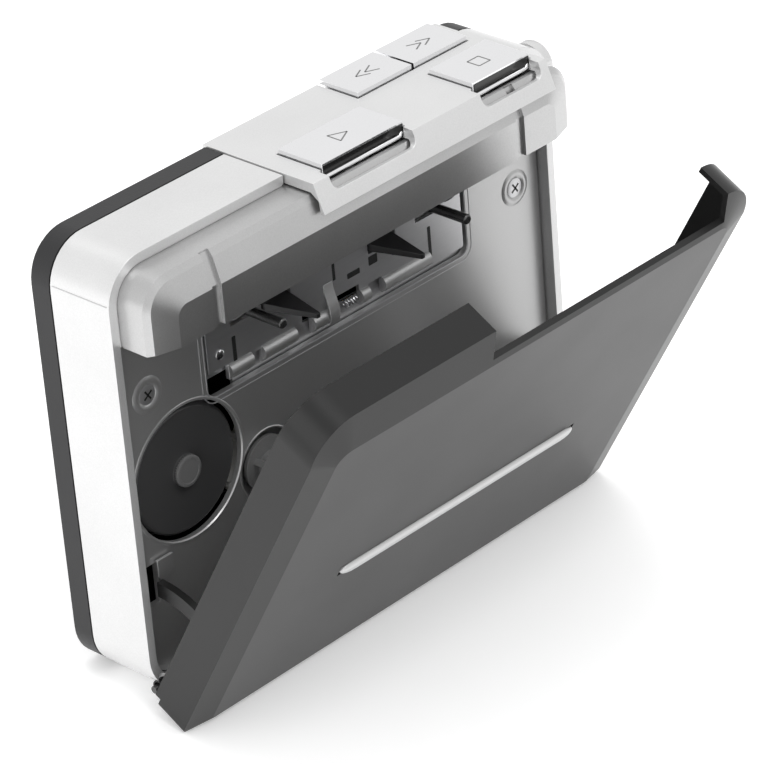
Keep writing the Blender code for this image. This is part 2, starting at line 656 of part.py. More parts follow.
def build_door():
    outer = door_outline()
    inner = door_outline(DOOR_WALL)
    face = door_face_outline()
    inner_face = rounded_rectangle(-DOOR_FACE_X + 1, DOOR_FACE_X - 1, DOOR_FACE_Z[0] + 1,
                                   DOOR_FACE_Z[1] - 1, 0.4, 2.4)
    shell = bmesh.new()
    rings = [ring_of(shell, outline, y) for outline, y in (
        (inner_face, DOOR_FACE + DOOR_SKIN),
        (inner, lambda x, z: door_crease(x, z) + 0.9),
        (inner, DOOR_BACK), (outer, DOOR_BACK), (outer, door_crease), (face, DOOR_FACE))]
    for first, second in zip(rings, rings[1:]):
        bridge(shell, first, second)
    shell.faces.new(rings[0])
    shell.faces.new(rings[-1])
    cuts = [box(*DOOR_NOTCH, DOOR_FACE - 2, FRONT + 2, CAP_LIP[1] - 0.5, HEIGHT + 2),
            box(-TRIM_HALF - 0.4, TRIM_HALF + 0.4, DOOR_FACE - 1, DOOR_FACE + 0.5,
                TRIM_Z[0] - 0.4, TRIM_Z[1] + 0.4)]
    for low, high in ((-HALF - 1, -55.1), (-53.0, 53.0), (55.1, HALF + 1)):
        cuts.append(box(low, high, FRONT - 1.6, FRONT + 2, -1, 2.4))
    joins = []
    for side in (-1, 1):
        low, high = sorted((side * 53.2, side * 54.9))
        ear = circle(*HINGE, 1.4, 14)
        ear_plate = [(FRONT - 6.0, 1.0), (HINGE[0], 0.25), (HINGE[0], 2.95), (FRONT - 6.0, 6.0)]
        joins.append(along_x(ear_plate, low, high))
        joins.append(along_x(ear, low, high))
        cuts.append(along_x(circle(*HINGE, 1.05, 14), low - 0.5, high + 0.5))
        joins.append(door_arm(side, 51.6))
        low, high = sorted((side * 51.6, side * 56.2))
        joins.append(box(low, high, FRONT - 8.3, FRONT - 4.6, 18.0, 23.0))
    door = solid("door", shell, "door_black", cuts, joins, origin=(0.0, *HINGE))
    bar = rounded_rectangle(-TRIM_HALF, TRIM_HALF, *TRIM_Z, 0.85, 0.85, 4)
    trim = prism(bar, DOOR_FACE - 0.6, DOOR_FACE + 0.2)
    trim = solid("door_trim", trim, "chrome", origin=(0.0, *HINGE))
    pieces = [door, trim]
    for side, name in ((-1, "left"), (1, "right")):
        x = side * 41.0
        strip = [(DOOR_FACE + 1.2, 24.0), (DOOR_FACE + 2.2, 34.0), (DOOR_FACE + 1.2, 44.0),
                 (DOOR_FACE + 1.5, 44.3), (DOOR_FACE + 2.6, 34.0), (DOOR_FACE + 1.5, 23.7)]
        leaf = along_x(strip, x - 3.0, x + 3.0)
        pieces.append(solid("cassette_spring_" + name, leaf, "steel", origin=(0.0, *HINGE)))
        low, high = sorted((side * 53.0, side * (HALF - 0.9)))
        solid("hinge_pin_" + name, along_x(circle(*HINGE, 0.75, 12), low, high), "steel")
    hinge = bpy.data.objects.new("door_hinge", None)
    hinge.location = Vector((0.0, *HINGE)) * MM
    bpy.context.scene.collection.objects.link(hinge)
    for piece in pieces:
        piece.parent = hinge
        piece.location = (0.0, 0.0, 0.0)
    hinge.rotation_euler = (DOOR_OPEN, 0.0, 0.0)


def build():
    clear_scene()
    build_frame()
    build_back_shell()
    build_hood()
    build_deck()
    build_cap()
    build_battery_lid()
    build_keys()
    build_chassis()
    build_carriage()
    build_pinch_rollers()
    build_guides()
    build_capstans()
    build_reels()
    build_motor()
    build_belt()
    build_electronics()
    build_screws()
    build_door()


build()
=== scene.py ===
"""Looks of the portable cassette player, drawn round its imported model.

Sizes are in millimetres in the player's own frame: X to the right, Y to the back, Z up.
"""
import math

import bmesh
import bpy
from mathutils import Matrix, Vector


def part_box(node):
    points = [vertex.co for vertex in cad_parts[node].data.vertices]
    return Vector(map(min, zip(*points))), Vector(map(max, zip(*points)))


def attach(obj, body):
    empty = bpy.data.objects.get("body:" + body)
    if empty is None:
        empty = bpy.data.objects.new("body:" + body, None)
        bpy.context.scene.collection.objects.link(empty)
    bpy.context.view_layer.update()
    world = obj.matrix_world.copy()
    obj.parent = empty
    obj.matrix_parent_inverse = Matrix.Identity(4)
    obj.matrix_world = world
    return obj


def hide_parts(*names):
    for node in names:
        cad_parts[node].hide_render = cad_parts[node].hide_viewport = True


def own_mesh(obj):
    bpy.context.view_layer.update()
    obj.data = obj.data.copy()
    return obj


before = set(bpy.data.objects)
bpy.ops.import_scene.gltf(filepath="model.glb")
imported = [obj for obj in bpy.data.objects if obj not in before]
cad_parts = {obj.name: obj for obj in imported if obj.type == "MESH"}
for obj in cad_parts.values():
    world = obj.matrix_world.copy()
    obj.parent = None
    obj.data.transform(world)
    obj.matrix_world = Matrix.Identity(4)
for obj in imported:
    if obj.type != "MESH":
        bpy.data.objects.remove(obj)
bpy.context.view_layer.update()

MM = 0.001


def extent(node):
    """Lowest and highest corner of a node of the model, in millimetres."""
    low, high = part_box(node)
    return low / MM, high / MM


# Where things are, from the model
DECK_LOW = extent("deck_plate")[0]
DECK_FACE = DECK_LOW.y
HOOD_LOW = extent("hood")[0]
CAP_LOW, CAP_HIGH = extent("top_cap")
CARRIAGE_LOW = extent("head_carriage")[0]
KNOB_LOW, KNOB_HIGH = extent("volume_knob")
KEYS = {name: extent(name + "_button") for name in ("play", "stop", "rewind", "forward")}
SHELL_HIGH = extent("back_shell")[1]
DOOR_LOW = extent("door")[0]
WINDOW = (-34.0, 34.5, 50.4, 78.0)
HINGE = Vector((0.0, -6.5, 1.6))
DOOR_OPEN = math.radians(30.0)


# Materials

def noise(tree, vector, scale, detail=3.0):
    made = tree.nodes.new("ShaderNodeTexNoise")
    made.inputs["Scale"].default_value = scale
    made.inputs["Detail"].default_value = detail
    tree.links.new(vector, made.inputs["Vector"])
    return made.outputs["Fac"]


def spread(tree, value, low, high):
    """Map a noise value onto a range of numbers."""
    made = tree.nodes.new("ShaderNodeMapRange")
    made.inputs["From Min"].default_value = 0.1
    made.inputs["From Max"].default_value = 0.9
    made.inputs["To Min"].default_value = low
    made.inputs["To Max"].default_value = high
    tree.links.new(value, made.inputs["Value"])
    return made.outputs["Result"]


def tint(tree, value, dark, light):
    """Blend between two colours by a noise value."""
    made = tree.nodes.new("ShaderNodeValToRGB")
    made.color_ramp.elements[0].position = 0.15
    made.color_ramp.elements[1].position = 0.85
    made.color_ramp.elements[0].color = (*dark, 1.0)
    made.color_ramp.elements[1].color = (*light, 1.0)
    tree.links.new(value, made.inputs["Fac"])
    return made.outputs["Color"]


def surface(name, colour, rough, metallic=0.0, vary=0.06, grain=2600.0, bump=0.02,
            stretch=(1.0, 1.0, 1.0), shine=0.5):
    """A moulded, painted or metal surface: fine grain, slow tone changes and uneven gloss."""
    made = bpy.data.materials.new(name)
    made.use_nodes = True
    tree = made.node_tree
    shader = tree.nodes["Principled BSDF"]
    place = tree.nodes.new("ShaderNodeTexCoord")
    scaled = tree.nodes.new("ShaderNodeMapping")
    scaled.inputs["Scale"].default_value = stretch
    tree.links.new(place.outputs["Object"], scaled.inputs["Vector"])
    vector = scaled.outputs["Vector"]
    fine = noise(tree, vector, grain)
    broad = noise(tree, place.outputs["Object"], 60.0)
    both = tree.nodes.new("ShaderNodeMath")
    both.operation = "MULTIPLY_ADD"
    both.inputs[1].default_value = 0.6
    tree.links.new(fine, both.inputs[0])
    half = tree.nodes.new("ShaderNodeMath")
    half.operation = "MULTIPLY"
    half.inputs[1].default_value = 0.4
    tree.links.new(broad, half.inputs[0])
    tree.links.new(half.outputs[0], both.inputs[2])
    dark = tuple(c * (1.0 - vary) for c in colour)
    light = tuple(min(1.0, c * (1.0 + vary)) for c in colour)
    tree.links.new(tint(tree, both.outputs[0], dark, light), shader.inputs["Base Color"])
    gloss = spread(tree, broad, rough * 0.92, min(1.0, rough * 1.1))
    tree.links.new(gloss, shader.inputs["Roughness"])
    raised = tree.nodes.new("ShaderNodeBump")
    raised.inputs["Strength"].default_value = bump
    raised.inputs["Distance"].default_value = 0.0002
    tree.links.new(fine, raised.inputs["Height"])
    tree.links.new(raised.outputs["Normal"], shader.inputs["Normal"])
    shader.inputs["Metallic"].default_value = metallic
    shader.inputs["Specular IOR Level"].default_value = shine
    return made


LOOKS = {
    "silver": surface("silver_paint", (0.70, 0.70, 0.70), 0.34, 0.6, vary=0.1, grain=3800, bump=0.06),
    "hood_grey": surface("hood_paint", (0.52, 0.52, 0.52), 0.29, 0.85, vary=0.14, grain=4200, bump=0.06),
    "satin_black": surface("back_plastic", (0.022, 0.022, 0.023), 0.45, grain=3000, bump=0.15, shine=0.3),
    "door_black": surface("door_plastic", (0.012, 0.012, 0.012), 0.32, grain=3600, bump=0.04, shine=0.33),
    "gloss_black": surface("gloss_black", (0.01, 0.01, 0.01), 0.12, grain=3600, bump=0.01, vary=0.2),
    "deck_grey": surface("deck_paint", (0.50, 0.50, 0.50), 0.33, 0.7, grain=4200, bump=0.05),
    "chrome": surface("bright_plate", (0.86, 0.86, 0.87), 0.16, 1.0, vary=0.03, grain=3000, bump=0.01),
    "steel": surface("sheet_steel", (0.62, 0.62, 0.63), 0.36, 0.85, grain=1500, bump=0.05,
                     stretch=(0.15, 1.0, 1.0)),
    "black_plastic": surface("black_plastic", (0.018, 0.018, 0.019), 0.38, grain=3000, bump=0.12, vary=0.2),
    "white_plastic": surface("gear_plastic", (0.74, 0.74, 0.71), 0.5, grain=2500, bump=0.08),
    "rubber": surface("rubber", (0.02, 0.02, 0.02), 0.82, grain=2200, bump=0.3, vary=0.25),
    "brass": surface("turned_brass", (0.70, 0.54, 0.28), 0.3, 1.0, grain=1800, bump=0.06),
    "board_green": surface("board", (0.03, 0.20, 0.09), 0.5, grain=1500, bump=0.15, vary=0.15),
    "motor_black": surface("motor_plastic", (0.055, 0.055, 0.056), 0.30, grain=3600, bump=0.05),
    "hub_grey": surface("hub_plastic", (0.16, 0.16, 0.16), 0.4, grain=3600, bump=0.05),
    "mark_grey": surface("mark_ink", (0.16, 0.16, 0.16), 0.6, grain=3000, bump=0.05),
    "rolled_steel": surface("rolled_steel", (0.60, 0.60, 0.60), 0.42, 0.8, grain=1500, bump=0.05,
                            stretch=(0.15, 1.0, 1.0)),
    "dark_steel": surface("dark_steel", (0.10, 0.10, 0.10), 0.22, 0.8, grain=3000, bump=0.04),
    # painted shade: grey for the strip that stands in for the shade inside the frame's seam groove
    "seam_shade_grey": surface("seam_shadow", (0.48, 0.48, 0.48), 0.5, grain=3000, bump=0.02),
    # painted shade: near-black for screw-head recesses and carriage slits, which are drawn as dark sheets
    # instead of being cut
    "pit_painted_shade": surface("pit_shade_black", (0.012, 0.012, 0.012), 0.6, grain=3000, bump=0.1, vary=0.2),
}

NODE_SLOTS = {
    "frame": "silver", "top_cap": "silver", "volume_knob": "silver", "hood": "silver",
    "back_shell": "satin_black", "battery_lid": "satin_black", "door": "door_black",
    "deck_plate": "deck_grey", "motor_clip": "deck_grey", "door_trim": "chrome",
    "tape_head": "chrome", "motor": "black_plastic", "headphone_jack": "black_plastic",
    "circuit_board": "board_green", "drive_belt": "rubber", "motor_pulley": "brass",
    "idler_gear": "white_plastic", "capstan_pinion": "white_plastic",
}
NAME_STARTS = (("reel_gear", "white_plastic"), ("reel_spindle", "black_plastic"), ("flywheel", "brass"),
               ("pinch_roller", "rubber"), ("tape_guide", "black_plastic"))
OTHER_LOOKS = {"hood": "hood_grey", "motor": "motor_black", "capstan_left": "dark_steel",
               "capstan_right": "dark_steel", "hinge_pin_left": "dark_steel", "hinge_pin_right": "dark_steel",
               "reel_spindle_left": "hub_grey", "reel_spindle_right": "hub_grey"}
BEVELS = {"frame": 0.35, "hood": 0.3, "top_cap": 0.3, "back_shell": 0.3, "door": 0.3, "deck_plate": 0.15,
          "battery_lid": 0.25, "motor": 0.2, "tape_head": 0.4}
FINE_BEVEL = 0.12
CREASE = 32.0                      # degrees; folds sharper than this get a rounded edge
CREASES = {"hood": 14.0, "door": 10.5}
HOLED = ("battery_lid", "head_carriage")    # grooves or holes are islands inside their flat faces


def slot_of(node):
    """Material slot of a node of the model."""
    if node in NODE_SLOTS:
        return NODE_SLOTS[node]
    if node.endswith("_button"):
        return "chrome"
    for start, slot in NAME_STARTS:
        if node.startswith(start):
            return slot
    return "steel"


def soften(thing, width, angle=CREASE):
    """Weld the mesh, join its flat faces, and round its sharp edges."""
    weld = thing.modifiers.new("weld", "WELD")
    weld.merge_threshold = 0.000004
    if thing.name not in HOLED:
        flat = thing.modifiers.new("flat", "DECIMATE")
        flat.decimate_type = "DISSOLVE"
        flat.angle_limit = math.radians(0.6)
    bevel = thing.modifiers.new("bevel", "BEVEL")
    bevel.width = width * MM
    bevel.segments = 3
    bevel.limit_method = "ANGLE"
    bevel.angle_limit = math.radians(angle)
    bevel.use_clamp_overlap = True
    bevel.miter_outer = "MITER_ARC"
    thing.modifiers.new("even", "WEIGHTED_NORMAL")


def finish_nodes():
    """Give each node of the model its look, smooth shading and rounded edges."""
    for name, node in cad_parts.items():
        slot = slot_of(name)
        if "custom_normal" in node.data.attributes:
            node.data.attributes.remove(node.data.attributes["custom_normal"])
        node.data.shade_smooth()
        node.data.materials.clear()
        node.data.materials.append(LOOKS[OTHER_LOOKS.get(name, slot)])
        if not name.endswith("_spring") or name == "battery_spring":
            soften(node, BEVELS.get(name, FINE_BEVEL), CREASES.get(name, CREASE))


# Shapes

def add_piece(name, shape, look, body, bevel=0.0, replaces=()):
    """Make a piece from a bmesh in millimetres and let it ride on a body of the model."""
    bmesh.ops.scale(shape, verts=shape.verts, vec=(MM, MM, MM))
    bmesh.ops.recalc_face_normals(shape, faces=shape.faces)
    mesh = bpy.data.meshes.new(name)
    shape.to_mesh(mesh)
    shape.free()
    mesh.materials.append(LOOKS[look])
    thing = bpy.data.objects.new(name, mesh)
    bpy.context.scene.collection.objects.link(thing)
    mesh.shade_smooth()
    mesh.set_sharp_from_angle(angle=math.radians(38))
    if bevel:
        soften(thing, bevel)
    if replaces:
        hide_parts(*replaces)
    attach(thing, body)
    return thing


def middle(node, first, second):
    """Middle of a node along two of the axes x, y and z."""
    low, high = extent(node)
    return tuple((getattr(low, axis) + getattr(high, axis)) / 2 for axis in (first, second))


def circle(x, z, radius, steps=40):
    return [(x + radius * math.cos(math.tau * i / steps), z + radius * math.sin(math.tau * i / steps))
            for i in range(steps)]


def rounded(x0, x1, z0, z1, radius, steps=8):
    """Outline of (x, z) points with four rounded corners."""
    points = []
    corners = ((x0 + radius, z0 + radius, 180), (x1 - radius, z0 + radius, 270),
               (x1 - radius, z1 - radius, 0), (x0 + radius, z1 - radius, 90))
    for x, z, start in corners:
        for i in range(steps + 1):
            angle = math.radians(start + 90 * i / steps)
            points.append((x + radius * math.cos(angle), z + radius * math.sin(angle)))
    return points


def loft(sections, closed=False, place=lambda a, b, level: (a, level, b)):
    """A solid through (outline, level) sections; closed joins the last section to the first."""
    shape = bmesh.new()
    rings = [[shape.verts.new(place(a, b, level)) for a, b in outline] for outline, level in sections]
    pairs = list(zip(rings, rings[1:]))
    if closed:
        pairs.append((rings[-1], rings[0]))
    for first, second in pairs:
        for i in range(len(first)):
            after = (i + 1) % len(first)
            shape.faces.new((first[i], first[after], second[after], second[i]))
    if not closed:
        shape.faces.new(rings[0])
        shape.faces.new(rings[-1])
    return shape


def across(a, b, level):
    """Place an outline of (y, z) points at an X level."""
    return (level, a, b)


def tube(path, radius, steps=10):
    """A round wire along a path of points, with flat ends."""
    shape = bmesh.new()
    rings = []
    points = [Vector(p) for p in path]
    normal = None
    for i, point in enumerate(points):
        ahead = points[min(i + 1, len(points) - 1)]
        behind = points[max(i - 1, 0)]
        along = (ahead - behind).normalized()
        if normal is None:
            normal = along.orthogonal().normalized()
        normal = (normal - along * normal.dot(along)).normalized()
        other = along.cross(normal)
        turns = [math.tau * k / steps for k in range(steps)]
        rings.append([shape.verts.new(point + normal * radius * math.cos(a) + other * radius * math.sin(a))
                      for a in turns])
    for first, second in zip(rings, rings[1:]):
        for k in range(steps):
            after = (k + 1) % steps
            shape.faces.new((first[k], first[after], second[after], second[k]))
    shape.faces.new(rings[0])
    shape.faces.new(rings[-1])
    return shape


def loop_tube(path, radius, steps=8):
    """A round bead along a closed path of points in one plane of constant Y."""
    shape = bmesh.new()
    rings = []
    points = [Vector(p) for p in path]
    for i, point in enumerate(points):
        along = (points[(i + 1) % len(points)] - points[i - 1]).normalized()
        side = along.cross(Vector((0, 1, 0)))
        turns = [math.tau * k / steps for k in range(steps)]
        rings.append([shape.verts.new(point + side * radius * math.cos(a)
                                      + Vector((0, radius * math.sin(a), 0))) for a in turns])
    for i, first in enumerate(rings):
        second = rings[(i + 1) % len(rings)]
        for k in range(steps):
            after = (k + 1) % steps
            shape.faces.new((first[k], first[after], second[after], second[k]))
    return shape


# Deck details

def deck_rings(x, z, profile, steps=40):
    """Sections round a point of the deck, from pairs of radius and depth behind the deck's face."""
    return [(circle(x, z, radius, steps), DECK_FACE + depth) for radius, depth in profile]


CAP_PROFILE = ((3.05, 0.5), (3.05, -0.05), (2.85, -0.2), (2.4, -0.2), (2.3, -0.12))
MOTOR_RIM_PROFILE = ((13.95, -0.02), (13.75, -0.16), (13.4, -0.16), (13.22, 0.1), (13.5, 0.2))
DISH_PROFILE = ((3.6, 0.0), (3.1, -0.22), (2.7, -0.3), (2.5, -0.25), (1.9, -0.02), (1.8, 0.1))
SCREW_PROFILE = ((1.9, 0.1), (1.9, -0.06), (1.4, -0.2), (0.6, -0.24))
REEL_HOLE_R = 6.85
REEL_RIM_PROFILE = ((REEL_HOLE_R + 0.4, 0.0), (REEL_HOLE_R + 0.25, -0.12), (REEL_HOLE_R, -0.1),
                    (REEL_HOLE_R - 0.1, 0.3), (REEL_HOLE_R + 0.2, 0.4))


def build_window_lip():
    """Two fine bright steps run round the window in the deck."""
    x0, x1, z0, z1 = WINDOW
    for name, out, radius in (("window_step_outer", 1.15, 0.14), ("window_step_inner", 0.12, 0.16)):
        outline = rounded(x0 - out, x1 + out, z0 - out, z1 + out, 2.0 + out)
        path = [(x, DECK_FACE + radius * 0.35, z) for x, z in outline]
        add_piece(name, loop_tube(path, radius), "steel", "player")


def build_motor_cap():
    """Grey button in the middle of the motor, and the raised rim of the hole round the motor."""
    x, z = middle("motor", "x", "z")
    add_piece("motor_cap", loft(deck_rings(x, z, CAP_PROFILE)), "hub_grey", "player")
    ring = loft(deck_rings(x, z, MOTOR_RIM_PROFILE, 72), closed=True)
    add_piece("motor_hole_rim", ring, "deck_grey", "player")


def build_screw_dishes():
    """Each deck screw sits in a small dish with a raised edge."""
    for side in ("left", "right"):
        x, z = middle("deck_screw_" + side, "x", "z")
        ring = loft(deck_rings(x, z, DISH_PROFILE), closed=True)
        add_piece("screw_dish_" + side, ring, "deck_grey", "player")
        head = loft(deck_rings(x, z, SCREW_PROFILE))
        add_piece("screw_head_" + side, head, "steel", "player", replaces=("deck_screw_" + side,))
        # the cross in each screw head is two dark bars of painted shade laid on the head, not a cut recess
        for turn, label in ((35, "a"), (125, "b")):
            bar = strip([(-1.15, 0.0), (1.15, 0.0)], 0.36)
            angle = math.radians(turn)
            right, up = math.cos(angle), math.sin(angle)
            spun = [(x + u * right - v * up, z + u * up + v * right) for u, v in bar]
            add_piece("screw_cross_" + side + "_" + label,
                      loft([(spun, DECK_FACE - 0.27), (spun, DECK_FACE)]), "pit_painted_shade", "player")


def build_reel_rims():
    """Raised rim round each hole that a reel spindle stands in."""
    for side in ("left", "right"):
        x, z = middle("reel_spindle_" + side, "x", "z")
        ring = loft(deck_rings(x, z, REEL_RIM_PROFILE), closed=True)
        add_piece("reel_hole_rim_" + side, ring, "deck_grey", "player")


# Carriage

ROLL = 1.55
ROLL_SPANS = ((-28.4, -22.5), (-20.0, -11.3), (-7.0, -0.4), (5.6, 8.0), (11.6, 24.4))
RIVETS = ((-30.1, 57.9), (15.3, 59.2))
SLITS = ((2.9, 6.2, 58.5, 59.6), (8.6, 10.9, 58.8, 60.6), (-26.9, -26.0, 53.0, 60.0),
         (-0.8, -0.1, 59.8, 63.2), (24.4, 25.2, 52.4, 60.0))


def build_carriage_roll():
    """The carriage's lower edge is rolled over towards the front in short bright lengths."""
    y = CARRIAGE_LOW.y + 0.2
    z = CARRIAGE_LOW.z + ROLL + 0.1
    for i, (x0, x1) in enumerate(ROLL_SPANS):
        arc = [(y + 0.35 - ROLL * math.sin(math.radians(a)), z - ROLL * math.cos(math.radians(a)))
               for a in range(0, 181, 15)]
        arc.append((y + 0.7, z + ROLL - 0.2))
        arc.append((y + 0.7, z - ROLL + 0.2))
        shape = loft([(arc, x0 + 0.1), (arc, x1 - 0.1)], place=across)
        add_piece("carriage_roll_" + str(i + 1), shape, "rolled_steel", "carriage")


def build_carriage_details():
    """Rivets, slots drawn as dark sheets of painted shade, the return spring's end and a bent tab on the
    carriage.
    """
    y = CARRIAGE_LOW.y
    for i, (x, z) in enumerate(RIVETS):
        rivet = loft([(circle(x, z, 1.0, 20), y + 0.1), (circle(x, z, 0.95, 20), y - 0.15),
                      (circle(x, z, 0.5, 20), y - 0.4)])
        add_piece("carriage_rivet_" + str(i + 1), rivet, "chrome", "carriage")
    # each slit is a thin dark sheet of painted shade laid on the carriage face, not a hole
    for i, (x0, x1, z0, z1) in enumerate(SLITS):
        outline = rounded(x0, x1, z0, z1, 0.2, 3)
        slit = loft([(outline, y - 0.03), (outline, y + 0.1)])
        add_piece("carriage_slit_" + str(i + 1), slit, "pit_painted_shade", "carriage")
    turns = 4.5
    coil = [(1.2 + 3.0 * i / 60, y - 0.1 + 0.75 * math.cos(math.tau * turns * i / 60),
             54.1 + 0.75 * math.sin(math.tau * turns * i / 60)) for i in range(61)]
    add_piece("carriage_return_spring", tube(coil, 0.16, 8), "chrome", "player")
    curve = [(y - 0.05, 60.0), (y - 0.35, 58.4), (y - 0.95, 56.8), (y - 1.45, 55.0), (y - 1.5, 53.6),
             (y - 1.2, 52.4)]
    back = [(a + 0.45, b + 0.1) for a, b in reversed(curve)]
    tab = loft([(curve + back, -3.4), (curve + back, -1.0)], place=across)
    add_piece("carriage_tab", tab, "rolled_steel", "carriage", bevel=0.12)


# Hood and cap details

KEY_FRONT_LOW = 85.9
KEY_BAR_Z = 85.75
KEY_BAR_TURN = 1.4
SPRING_TURNS = 5
SPRING_STEPS = 20
SPRING_WIRE = 0.24
FRAME_RIM = 1.8
FRAME_CORNER = 8.5


def build_key_fronts():
    """Play and stop have a polished front that drops into the scoop, over a bright lower bar."""
    for name in ("play", "stop"):
        low, high = KEYS[name]
        outline = [(low.x + 0.3, KEY_FRONT_LOW), (high.x - 0.2, KEY_FRONT_LOW),
                   (high.x - 0.2, high.z - 0.45), (low.x + 0.3, high.z - 0.45)]
        wall = loft([(outline, low.y - 0.12), (outline, low.y + 0.1)])
        add_piece("key_front_" + name, wall, "gloss_black", name + "_key")
        turn_x = high.x - KEY_BAR_TURN
        path = [(low.x - 0.2, low.y - 0.1, KEY_BAR_Z), (turn_x, low.y - 0.1, KEY_BAR_Z)]
        for i in range(1, 7):
            angle = math.radians(-90 + 90 * i / 6)
            path.append((turn_x + KEY_BAR_TURN * math.cos(angle),
                         low.y + 1.3 + KEY_BAR_TURN * math.sin(angle), KEY_BAR_Z + 0.25 * i))
        add_piece("key_bar_" + name, tube(path, 0.42, 12), "chrome", name + "_key")


def build_rim_fillers():
    """A soft step joins the hood to the frame's front rim."""
    low, high = extent("frame")
    top = high.z - FRAME_RIM
    edge = high.x - FRAME_RIM
    corner = FRAME_CORNER - FRAME_RIM
    outline = rounded(-edge, edge, 20.0, top, corner, 12)
    keep = [(x, z) for x, z in outline if z > HOOD_LOW.z + 1.0]
    for name, test in (("left", lambda x: x < CAP_LOW.x - 1.0), ("right", lambda x: x > CAP_HIGH.x + 1.0)):
        path = [(x, low.y + 0.45, z) for x, z in keep if test(x)]
        cap_x = CAP_LOW.x - 0.6 if name == "left" else CAP_HIGH.x + 0.6
        side = -1 if name == "left" else 1
        path.append((cap_x, low.y + 0.45, top))
        path.append((side * edge, low.y + 0.45, HOOD_LOW.z + 0.2))
        path.sort(key=lambda p: math.atan2(p[2] - (top - corner), side * (p[0] - side * (edge - corner))))
        add_piece("hood_step_" + name, tube(path, 0.42, 10), "silver", "player")


def strip(points, width):
    """Flat strip of constant width along a path of (x, y) points, as an outline."""
    left = []
    right = []
    for i, (x, y) in enumerate(points):
        ahead = points[min(i + 1, len(points) - 1)]
        behind = points[max(i - 1, 0)]
        dx, dy = ahead[0] - behind[0], ahead[1] - behind[1]
        size = math.hypot(dx, dy)
        nx, ny = -dy / size * width / 2, dx / size * width / 2
        left.append((x + nx, y + ny))
        right.append((x - nx, y - ny))
    return left + right[::-1]


def arrow(x, y, reach, direction):
    """Three points of an arrow head that points along X."""
    return [(x - direction * reach / 2, y + reach / 2), (x + direction * reach / 2, y),
            (x - direction * reach / 2, y - reach / 2)]


def add_mark(name, key, outlines):
    """Thin engraved lines on a key, filled with grey."""
    low, high = KEYS[key]
    shape = bmesh.new()
    for outline in outlines:
        levels = (high.z - 0.1, high.z + 0.015)
        rings = [[shape.verts.new((x, y, level)) for x, y in outline] for level in levels]
        for i in range(len(outline)):
            after = (i + 1) % len(outline)
            shape.faces.new((rings[0][i], rings[0][after], rings[1][after], rings[1][i]))
        shape.faces.new(rings[0])
        shape.faces.new(rings[1])
    add_piece(name, shape, "mark_grey", key + "_key")


def build_key_marks():
    """Play triangle, stop square and double arrows for winding."""
    middles = {name: ((low.x + high.x) / 2, (low.y + high.y) / 2) for name, (low, high) in KEYS.items()}
    x, y = middles["play"]
    side = 1.7
    corners = [(x - side, y + side), (x + side, y), (x - side, y - side)]
    add_mark("play_mark", "play", [strip([corners[i], corners[(i + 1) % 3]], 0.3) for i in range(3)])
    x, y = middles["stop"]
    side = 1.5
    corners = [(x - side, y - side), (x + side, y - side), (x + side, y + side), (x - side, y + side)]
    add_mark("stop_mark", "stop", [strip([corners[i], corners[(i + 1) % 4]], 0.3) for i in range(4)])
    for name, direction in (("rewind", -1), ("forward", 1)):
        x, y = middles[name]
        outlines = []
        for offset in (-1.2, 1.2):
            points = arrow(x + offset, y, 2.6, direction)
            outlines.append(strip(points[:2], 0.3))
            outlines.append(strip(points[1:], 0.3))
        add_mark(name + "_mark", name, outlines)


def build_knob():
    """Volume knob with a ribbed rim and a slightly domed face."""
    y, z = (KNOB_LOW.y + KNOB_HIGH.y) / 2, (KNOB_LOW.z + KNOB_HIGH.z) / 2
    radius = (KNOB_HIGH.z - KNOB_LOW.z) / 2

    def ribbed(size, depth):
        ribs = 40
        return [(y + (size - depth * (i % 2)) * math.cos(math.pi * i / ribs),
                 z + (size - depth * (i % 2)) * math.sin(math.pi * i / ribs)) for i in range(2 * ribs)]

    start = extent("frame")[1].x + 0.3
    end = KNOB_HIGH.x
    sections = [(ribbed(0.7, 0.0), KNOB_LOW.x), (ribbed(0.7, 0.0), start), (ribbed(radius, 0.12), start),
                (ribbed(radius, 0.12), end - 0.8), (ribbed(radius - 0.25, 0.06), end - 0.35),
                (ribbed(radius - 0.8, 0.0), end - 0.1), (ribbed(radius * 0.5, 0.0), end)]
    dial = loft(sections, place=across)
    add_piece("volume_dial", dial, "silver", "volume", replaces=("volume_knob",))


def build_key_springs():
    """A coil spring stands under each key, in place of the model's spring."""
    for name in KEYS:
        low, high = extent(name + "_spring")
        x, y = (low.x + high.x) / 2, (low.y + high.y) / 2
        radius = (high.y - low.y) / 2 - SPRING_WIRE
        first, last = low.z + SPRING_WIRE, high.z - SPRING_WIRE
        coil = []
        count = SPRING_TURNS * SPRING_STEPS
        for i in range(count + 1):
            angle = math.tau * i / SPRING_STEPS
            height = first + (last - first) * i / count
            coil.append((x + radius * math.cos(angle), y + radius * math.sin(angle), height))
        spring = add_piece(name + "_coil", tube(coil, SPRING_WIRE, 8), "steel", "player",
                           replaces=(name + "_spring",))
        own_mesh(spring)


SEAM_Z = (79.82, 79.98)
SOCKET_LEVELS = (-0.1, 0.15, 0.3, 0.3, 0.1, -0.6, -0.6)
JACK_RADII = (3.2, 3.1, 2.9, 1.9, 1.75, 1.75, 2.0)
USB_HALVES = ((3.4, 2.4), (3.3, 2.3), (3.1, 2.1), (2.3, 1.3), (2.2, 1.2), (2.2, 1.2), (2.4, 1.4))


def build_sockets():
    """Bright collars stand round the two sockets in the right wall."""
    wall = extent("frame")[1].x
    for name in ("headphone_jack", "usb_socket"):
        low, high = extent(name)
        y, z = (low.y + high.y) / 2, (low.z + high.z) / 2
        if name == "headphone_jack":
            outlines = [circle(y, z, radius) for radius in JACK_RADII]
        else:
            outlines = [rounded(y - deep, y + deep, z - tall, z + tall, tall * 0.7)
                        for deep, tall in USB_HALVES]
        sections = [(outline, wall + level) for outline, level in zip(outlines, SOCKET_LEVELS)]
        add_piece(name + "_collar", loft(sections, closed=True, place=across), "chrome", "player")


